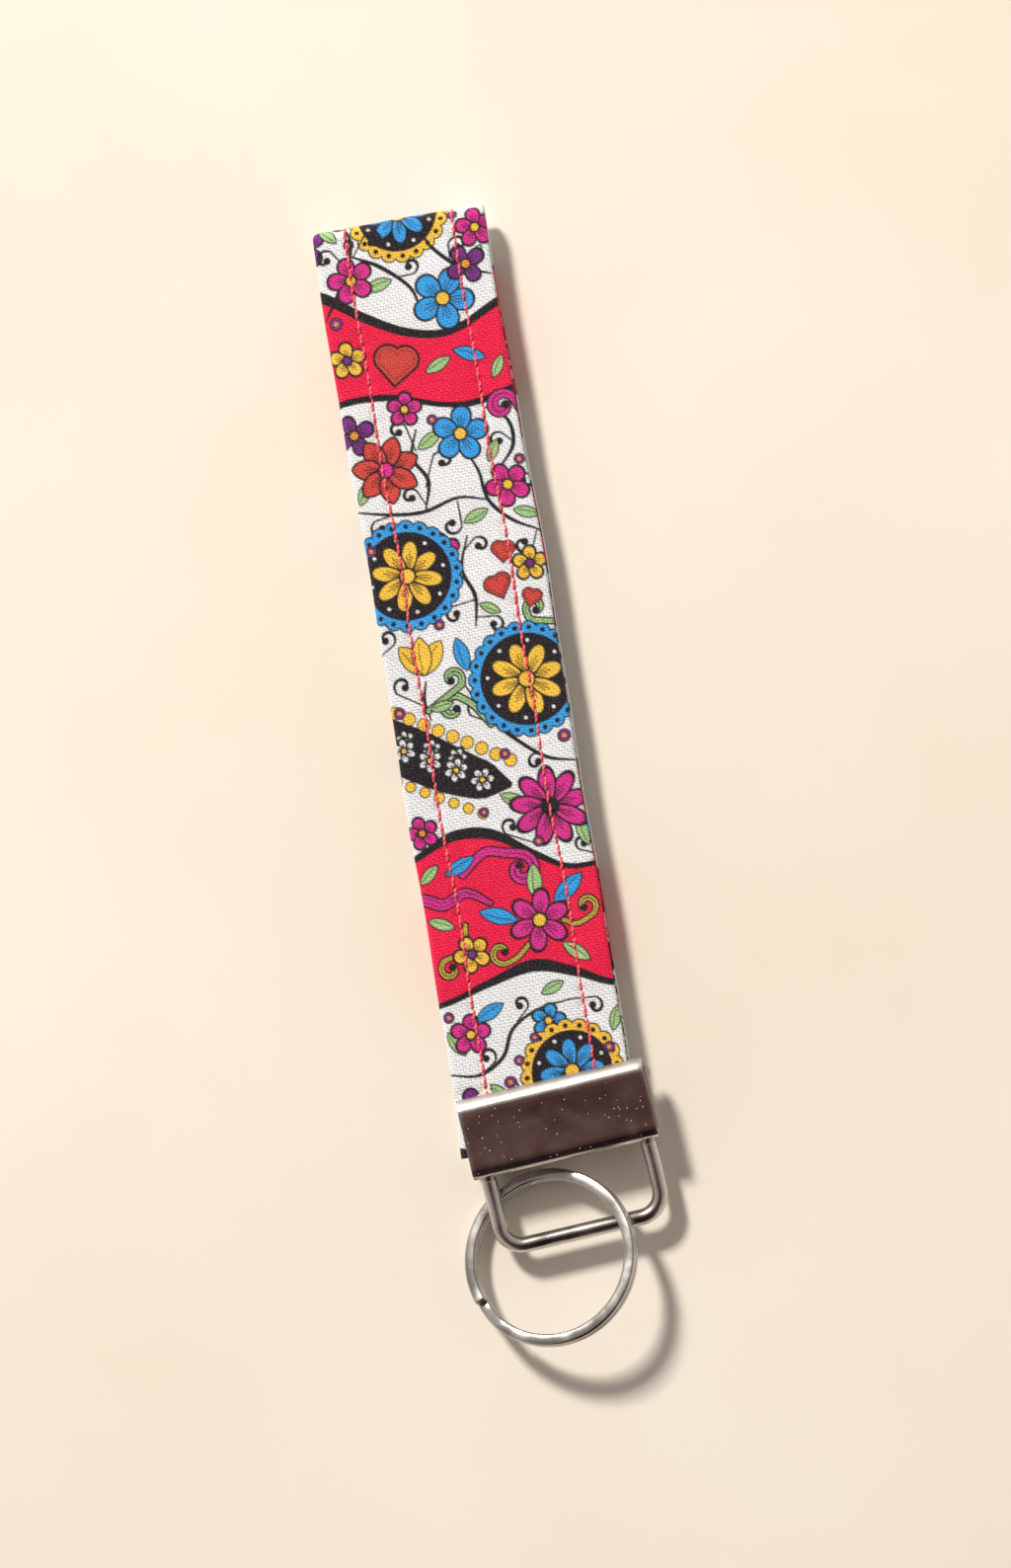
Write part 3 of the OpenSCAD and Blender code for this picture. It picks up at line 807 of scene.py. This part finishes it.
def threadPiece(name, start, end, insideFace, material):
    # one thread per row: a short arched tube for each stitch, dipping into its needle holes
    pitch, r = strap["stitch"], strap["thread"] / 2
    first = int(ceil(start / pitch - 0.5))
    count = int(ceil(end / pitch - 0.5)) - first
    rings, sides = 8, 8
    bm = bmesh.new()
    bmesh.ops.create_circle(bm, segments=sides, radius=r, cap_ends=False,
                            matrix=Matrix.Rotation(radians(90), 4, "X"))
    drawOn(bm, bm.verts[:] + bm.edges[:], rings, (0, pitch / rings, 0))
    closeEnds(bm)
    bmesh.ops.translate(bm, vec=(stitchRows[0], first * pitch, 0), verts=bm.verts)
    if count > 1:
        drawOn(bm, bm.verts[:] + bm.edges[:] + bm.faces[:], count - 1, (0, pitch, 0), copy=True)
    drawOn(bm, bm.verts[:] + bm.edges[:] + bm.faces[:], 1, (strap["rowGap"], 0, 0), copy=True)
    mesh = meshFrom(bm, name)
    x, s, z = readPoints(mesh).T
    row = np.where(x < 0, stitchRows[0], stitchRows[1])
    # the ring that closes one stitch and the one that opens the next are at the same s,
    # so the stitch's own number comes from the order in which the copies were made
    index = (np.arange(len(s)) // ((rings + 1) * sides)) % count
    t = np.clip(s / pitch - first - index, 0, 1)
    turn = np.arctan2(z, x - row)
    seeds = np.sin((index + first) * 12.9898 + row * 3.7) * 43758.5453
    loose = seeds - np.floor(seeds)
    fat = 0.45 + 0.55 * np.sqrt(np.clip(np.sin(pi * np.clip(t, 0.02, 0.98)), 0, 1))
    x = row + (x - row) * fat * 1.05 + rowDrift(s) + (t - 0.5) * (0.26 + 0.12 * (loose - 0.5))
    arch = 0.20 * np.sqrt(np.clip(np.sin(pi * t), 0, 1)) * (0.8 + 0.4 * loose) - 0.17
    lift = strapHalf - 0.12 + arch + z * fat
    side = -1 if insideFace else 1
    s = s - 0.12 * (t - 0.5)
    writePoints(mesh, strapPlace(x + sway(s), s, side * (lift - nipped(np.minimum(s, strapWhole - s)))))
    plyTwist = 0.9
    addAttribute(mesh, "ply", "FLOAT", "value", s * 2 * pi / plyTwist + turn)
    if insideFace:
        mesh.flip_normals()
    return newPiece(mesh, material)


def strapLengths():
    # each length crosses one hinge line and is cut half way to the next
    top = bendStart + bendLength / 2
    hinges = [alongStrap(n) for n in ("neck_bend", "loop_open", "front_bend_2", "front_bend_3",
                                      "front_bend_4", "front_fold_bend")]
    cuts = [-strap["tuck"]] + [(a + b) / 2 for a, b in zip(hinges, hinges[1:])] + [top]
    bodies = ["hardware", "neck", "front_1", "front_2", "front_3", "front_4", "fold"]
    lengths = [("front", i, cuts[i], cuts[i + 1], hinges[i], bodies[i:i + 2]) for i in range(6)]
    bodies = ["fold", "back_4", "back_3", "back_2", "back_1"]
    hinges = [strapWhole - h for h in hinges]
    cuts = [top] + [strapWhole - c for c in cuts[-2:2:-1]] + [hinges[1]]
    lengths += [("back", 5 - i, cuts[i], cuts[i + 1], hinges[5 - i], bodies[i:i + 2]) for i in range(4)]
    start = hinges[1] + 1.3   # clear of the length before it, which turns away when the loop opens
    lengths.append(("back", 0, start, strapWhole + strap["tuck"], hinges[0], ["neck", "hardware"]))
    return lengths


# half of the length on either side of each hinge line; bendAt finds the strap's middle there but does not
# use it
bendReach = {"neck": 2.45, "open": 3.1, "fold": 3.4, "middle": 7.5}


def standsFor(side, n, kind):
    # the plain solids that one soft length takes the place of
    found = []
    if kind != "stitching":
        if n == 0:
            found += [f"{side}_end_{kind}", f"{side}_neck_{kind}"]
        if n == 1:
            found.append(f"{side}_neck_{kind}")
        if n == 5:
            found.append(f"fold_{kind}")
    found += [f"{side}_{kind}_{k}" for k in (n - 1, n) if 1 <= k <= 4 and n > 0]
    return found


def bendAt(piece, n, hinge):
    reach = bendReach["neck" if n == 0 else "open" if n == 1 else "fold" if n == 5 else "middle"]
    for s in (hinge - reach, hinge + reach):
        point = strapPlace(np.array([0.0]), np.array([s]), np.array([0.0]))[0]
    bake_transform(piece)


def makeStrap(cotton, interfacing, thread):
    pivot = strapWhole - alongStrap("loop_open")
    half = strapHalf

    def roundOff(s, h):
        # the end of the last length turns on its own hinge line
        near = np.clip((s - (pivot - 2)) / 2, 0, 1)
        return near * np.sqrt(np.clip(half ** 2 - np.clip(h, -half, half) ** 2, 0, None)) * 0.98

    def hollowOut(s, h):
        near = np.clip((pivot + 3.3 - s) / 2, 0, 1)
        cup = half + 0.3
        return near * (np.sqrt(cup ** 2 - np.clip(h, -half, half) ** 2) - cup)

    for side, n, start, end, hinge, bodies in strapLengths():
        shape = roundOff if (side, n) == ("back", 2) else hollowOut if (side, n) == ("back", 0) else None
        piece = clothPiece(f"{side}_cotton_{n}", start, end, shape, cotton)
        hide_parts(*standsFor(side, n, "cover"))
        core = corePiece(f"{side}_interfacing_{n}", start + 0.02, end - 0.02, interfacing)
        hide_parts(*standsFor(side, n, "core"))
        sewnFrom, sewnTo = max(start, -4.0), min(end, strapWhole + 4.0)
        top = threadPiece(f"{side}_topstitch_{n}", sewnFrom, sewnTo, False, thread)
        if standsFor(side, n, "stitching"):
            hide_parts(*standsFor(side, n, "stitching"))
        if (side, n) == ("front", 5):
            sewnTo = alongStrap("front_fold_bend")
        if (side, n) == ("back", 5):
            sewnFrom = strapWhole - alongStrap("front_fold_bend")
        bobbin = threadPiece(f"{side}_bobbin_{n}", sewnFrom, sewnTo, True, thread)
        for one in (piece, core, top, bobbin):
            bendAt(one, n, hinge)
    print("strap sewn")


# clamp, wire loop and split ring

clampSheet = {
    "sheet": 1.0,
    "lip": 2.35,          # outer radius of the rolled jaw
    "corner": 1.6,        # outer radius at the base
    "toothPitch": 2.0,
    "toothDepth": 0.7,
    "bite": 0.4,
    "dish": 0.10,         # the plates sink a little when the clamp is crimped
    "edge": 0.13,
}
loopWire = {
    "thick": 2.7,
    "bend": 3.8,
    "chamfer": 0.35,
    "neck": 0.95,
    "head": 1.7,
    "headThick": 0.5,
    "bow": 0.12,          # how far the legs stray from straight
    "bowLength": 3.2,
}
keyRing = {
    "diameter": 30.0,
    "wide": 1.95,
    "thick": 1.25,
    "gap": 0.08,          # between the coils
    "soft": 0.42,         # rounding of the wire's corners
    "crossFrom": 199.5,   # direction in which the wire starts to climb between its coils
    "crossing": 25.0,
    "endRound": 0.22,
    "riseX": 0.2,         # slope of the ring towards +X and +Y
    "riseY": -0.28,
}


def settledMesh(piece):
    # gives the piece the mesh that its modifiers make, and takes them off
    bpy.context.view_layer.update()
    graph = bpy.context.evaluated_depsgraph_get()
    mesh = bpy.data.meshes.new_from_object(piece.evaluated_get(graph))
    mesh.name = piece.name
    piece.modifiers.clear()
    piece.data = mesh
    return piece


def clampPiece(nickel):
    c = clampSheet
    t, lip, corner, top = c["sheet"] / 2, c["lip"], c["corner"], clampHigh.z
    low, high = clampLow.y, clampHigh.y
    plate = high - low - lip - corner
    left = clampLow.x
    bm = bmesh.new()
    drawLine(bm, (left, high - t, top - lip), (
        ((left, high - lip, top - lip), pi / 2, 9),
        ((0, -plate, 0), 12),
        ((left, low + corner, top - corner), pi / 2, 7),
        ((0, 0, 2 * corner - top), 6),
        ((left, low + corner, corner), pi / 2, 7),
        ((0, plate, 0), 12),
        ((left, high - lip, lip), pi / 2, 9)), axis=(1, 0, 0))
    steps = round((clampHigh.x - clampLow.x) / c["toothPitch"]) * 2
    step = (clampHigh.x - clampLow.x) / steps
    drawOn(bm, bm.verts[:] + bm.edges[:], steps, (step, 0, 0))
    for vert in bm.verts:
        up = 1 if vert.co.z > midHeight else -1
        if abs(vert.co.y - high + t) < 1e-4:
            # every other vertex of the jaw's edge is the tip of a tooth
            tip = round((vert.co.x - left) / step) % 2
            vert.co.z -= up * (c["bite"] if tip else c["bite"] - c["toothDepth"])
        elif abs(abs(vert.co.z - midHeight) - midHeight + t) < 1e-4:
            across = 1 - (vert.co.x / clampHigh.x) ** 2
            vert.co.z -= up * c["dish"] * across * sin(pi * (vert.co.y - low - corner) / plate)
    bmesh.ops.recalc_face_normals(bm, faces=bm.faces)
    clamp = objectOf(meshFrom(bm, "ribbon_clamp"))
    wall = clamp.modifiers.new("wall", "SOLIDIFY")
    wall.thickness = c["sheet"]
    wall.offset = 0
    cutters = [legCutter(x) for x in (-1, 1)]
    for cutter in cutters:
        hole = clamp.modifiers.new("legHole", "BOOLEAN")
        hole.object = cutter
        hole.operation = "DIFFERENCE"
        hole.solver = "EXACT"
    rim = clamp.modifiers.new("cutEdge", "BEVEL")
    rim.width = c["edge"]
    rim.segments = 2
    rim.limit_method = "ANGLE"
    rim.angle_limit = radians(50)
    settledMesh(clamp)
    for cutter in cutters:
        bpy.data.objects.remove(cutter)
    placed(clamp, nickel)
    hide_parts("clamp")
    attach(clamp, "hardware")
    print("clamp bent")


def placed(piece, nickel):
    # millimetres to metres, smooth faces with sharp folds kept
    mesh = piece.data
    mesh.transform(Matrix.Scale(mm, 4))
    mesh.polygons.foreach_set("use_smooth", [True] * len(mesh.polygons))
    mesh.set_sharp_from_angle(angle=radians(45))
    mesh.materials.clear()
    mesh.materials.append(nickel)


def legX():
    return (loopHigh.x - loopLow.x - loopWire["thick"]) / 2


def legCutter(side):
    bm = bmesh.new()
    place = Matrix.Translation((side * legX(), clampLow.y, midHeight)) @ Matrix.Rotation(pi / 2, 4, "X")
    bmesh.ops.create_cone(bm, cap_ends=True, segments=32, radius1=1.0, radius2=1.0, depth=4, matrix=place)
    return objectOf(meshFrom(bm, "legCutter"))


def legEnd(bm, rim, side):
    # shoulder against the clamp, neck through its base, and the riveted head inside
    w, r = loopWire, loopWire["thick"] / 2
    low, inside = clampLow.y, clampLow.y + clampSheet["sheet"]
    centre = Vector((side * legX(), 0, midHeight))
    radius = r
    for y, wide in ((low - 0.04, r - w["chamfer"] * 0.7), (low - 0.04, w["neck"]),
                    (inside + 0.02, w["neck"]), (inside + 0.02, w["head"]), (inside + 0.2, w["head"]),
                    (inside + 0.42, w["head"] * 0.8), (inside + w["headThick"], w["head"] * 0.35)):
        made = bmesh.ops.extrude_edge_only(bm, edges=rim)["geom"]
        rim = [g for g in made if isinstance(g, bmesh.types.BMEdge)]
        verts = [g for g in made if isinstance(g, bmesh.types.BMVert)]
        for vert in verts:
            vert.co = centre + (vert.co - centre) * (wide / radius)
            vert.co.y = y
        radius = wide


def wireLoopPiece(nickel):
    w, r = loopWire, loopWire["thick"] / 2
    x, bar = legX(), loopLow.y + loopWire["thick"] / 2
    top = clampLow.y - loopWire["chamfer"]
    legLength, barLength = top - bar - w["bend"], 2 * (x - w["bend"])
    bm = bmesh.new()
    place = Matrix.Translation((-x, top, midHeight)) @ Matrix.Rotation(pi / 2, 4, "X")
    bmesh.ops.create_circle(bm, segments=40, radius=r, cap_ends=False, matrix=place)
    geom = bm.verts[:] + bm.edges[:]
    steps = 14
    for vector, side in (((0, -legLength, 0), -1), ((barLength, 0, 0), 1), ((0, legLength, 0), 0)):
        corner = (side * (x - w["bend"]), bar + w["bend"], midHeight)
        geom = drawOn(bm, geom, steps, Vector(vector) / steps)
        if side:
            geom = drawOn(bm, geom, 16, angle=pi / 2, centre=corner)
    for side in (-1, 1):
        legEnd(bm, [e for e in bm.edges if e.is_boundary and e.verts[0].co.x * side > 0], side)
    closeEnds(bm)
    # hand bent: the legs are not quite straight
    for vert in bm.verts:
        down = clampLow.y - vert.co.y
        if down > 0.5:
            vert.co.x += w["bow"] * sin(down / w["bowLength"]) * (1 if vert.co.x > 0 else 0.4)
    loop = objectOf(meshFrom(bm, "wire_loop_bent"))
    placed(loop, nickel)
    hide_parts("wire_loop")
    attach(loop, "hardware")
    print("wire loop bent")


def ringPiece(nickel):
    k = keyRing
    radius, lift = (k["diameter"] - k["wide"]) / 2, k["thick"] + k["gap"]
    start, coil = k["crossFrom"] + k["crossing"], 360 - k["crossing"]
    bm = bmesh.new()
    bmesh.ops.create_grid(bm, x_segments=1, y_segments=1, size=0.5)
    bmesh.ops.scale(bm, vec=(k["wide"], k["thick"], 1), verts=bm.verts)
    bmesh.ops.bevel(bm, geom=bm.verts[:], offset=k["soft"], segments=4, affect="VERTICES", profile=0.5,
                    material=-1)
    bmesh.ops.delete(bm, geom=bm.faces[:], context="FACES_ONLY")
    upright = Matrix.Translation((radius, 0, -lift / 2)) @ Matrix.Rotation(pi / 2, 4, "X")
    bmesh.ops.transform(bm, matrix=Matrix.Rotation(radians(start), 4, "Z") @ upright, verts=bm.verts)
    geom = bm.verts[:] + bm.edges[:]
    flat, steps = (coil, round(coil / 2.5), 0), 10
    levels = [0.5 - 0.5 * cos(pi * i / steps) for i in range(steps + 1)]
    climb = [(k["crossing"] / steps, 1, b - a) for a, b in zip(levels, levels[1:])]
    for angle, count, rise in [flat] + climb + [flat]:
        geom = drawOn(bm, geom, count, (0, 0, rise * lift), radians(angle))
    rims = [e for e in bm.edges if e.is_boundary]
    bmesh.ops.holes_fill(bm, edges=rims, sides=0)
    bmesh.ops.bevel(bm, geom=rims, offset=k["endRound"], segments=3, affect="EDGES", profile=0.5,
                    material=-1)
    bmesh.ops.recalc_face_normals(bm, faces=bm.faces)
    tilt = atan(hypot(k["riseX"], k["riseY"]))
    uphill = atan2(k["riseY"], k["riseX"])
    place = (Matrix.Translation((ringLow + ringHigh) / 2) @ Matrix.Rotation(uphill, 4, "Z")
             @ Matrix.Rotation(-tilt, 4, "Y") @ Matrix.Rotation(-uphill, 4, "Z"))
    bmesh.ops.transform(bm, matrix=place, verts=bm.verts)
    ring = objectOf(meshFrom(bm, "split_ring_wound"))
    placed(ring, nickel)
    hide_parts("split_ring")
    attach(ring, "key_ring")
    print("ring wound")


# floor, light and camera

studio = {
    "lens": 85.0,
    "distance": 631.0,
    "target": (4.44, 57.33, 4.0),
    "lean": (0.052, -0.078),      # how far the camera stands off straight above, towards +X and -Y
    "turn": 13.4,                 # the view is turned this many degrees from +Y, towards +X
    "keyHeight": 42.0,
    "keyDistance": 2200.0,
    "keySize": 300.0,
    "keyPower": 52.0,
    "roomStrength": 0.66,
    "darkCards": ((-0.02, -0.36, 0.93), (0.0, -0.80, 0.60)),   # directions of their middles
    "floor": "#F9F3E8",
    "floorShade": "#F4ECDD",
    "floorRough": 0.85,
}


def makeFloor():
    bm = bmesh.new()
    bmesh.ops.create_grid(bm, x_segments=4, y_segments=4, size=8)
    bmesh.ops.translate(bm, vec=(0, 0, -0.0001), verts=bm.verts)
    floor = objectOf(meshFrom(bm, "floor"))
    material, tree, shader = newMaterial("PaleFloor")
    cloud = noise(tree, addNode(tree, "TexCoord").outputs["Object"], 9.0, 4.0)
    pale = ramped(tree, cloud, (0.35, studio["floorShade"]), (0.65, studio["floor"]))
    feed(tree, shader, {"Base Color": pale,
                        "Roughness": studio["floorRough"]})
    floor.data.materials.append(material)


def makeLight():
    turn, height = radians(studio["turn"]), radians(studio["keyHeight"])
    right, up = Vector((cos(turn), -sin(turn), 0)), Vector((sin(turn), cos(turn), 0))
    way = (up * 1.15 - right * 0.85).normalized() * cos(height) + Vector((0, 0, sin(height)))
    light = bpy.data.lights.new("key", "AREA")
    light.size = studio["keySize"] * mm
    light.energy = studio["keyPower"]
    light.color = linearColour("#FFF8EE")
    key = bpy.data.objects.new("key", light)
    key.location = (Vector(studio["target"]) + way * studio["keyDistance"]) * mm
    key.rotation_euler = way.to_track_quat("Z", "Y").to_euler()
    scene.collection.objects.link(key)

    # a pale room, dark overhead and beyond the key ring, which the flat metal and the wire mirror
    world = bpy.data.worlds.new("room")
    scene.world = world
    world.use_nodes = True
    tree = world.node_tree
    way = addNode(tree, "TexCoord").outputs["Generated"]
    height = addNode(tree, "SeparateXYZ", {0: way}).outputs["Z"]
    room = ramped(tree, height, (0.0, "#E6DACA"), (0.2, "#FFFDF8"), (0.6, "#D2CBC4"), (1.0, "#B4ABA4"))
    cards = [addNode(tree, "VectorMath", {0: way, 1: Vector(middle).normalized()},
                     operation="DOT_PRODUCT").outputs["Value"] for middle in studio["darkCards"]]
    card = maths(tree, "MAXIMUM", *cards)
    dark = ramped(tree, card, (0.84, "#8A6862"), (0.93, "#6E4B48"), (0.985, "#191315"))
    both = mixed(tree, spread(tree, card, 0.80, 0.90), room, dark)
    feed(tree, tree.nodes["Background"], {"Color": both, "Strength": studio["roomStrength"]})


def makeCamera():
    turn = radians(studio["turn"])
    back = Vector((*studio["lean"], 1)).normalized()
    up = Vector((sin(turn), cos(turn), 0))
    across = up.cross(back).normalized()
    up = back.cross(across)
    camera = bpy.data.objects.new("camera", bpy.data.cameras.new("camera"))
    camera.data.lens = studio["lens"]
    place = Matrix((across, up, back)).transposed().to_4x4()
    place.translation = (Vector(studio["target"]) + back * studio["distance"]) * mm
    camera.matrix_world = place
    camera.data.clip_start = 0.01
    camera.data.clip_end = 10
    scene.collection.objects.link(camera)
    scene.camera = camera


scene.view_settings.view_transform = "Standard"
makeFloor()
makeLight()
makeCamera()
makeStrap(quiltingCotton(), bondedInterfacing(), spunPolyester())
clampPiece(nickelPlate("StampedNickelPlate", "#E4DFDA", "#CFC8C4", 0.10, (60, 1500, 400), 0.10, 0.9,
                       clampHigh.y - clampSheet["lip"]))
wireLoopPiece(nickelPlate("DrawnNickelWire", "#DAD6D1", "#BDB8B4", 0.12, (250, 250, 250), 0.12, 0.2))
ringPiece(nickelPlate("SpringNickelWire", "#CFCCCA", "#ABA8A6", 0.12, (500, 500, 500), 0.16, 0.1))
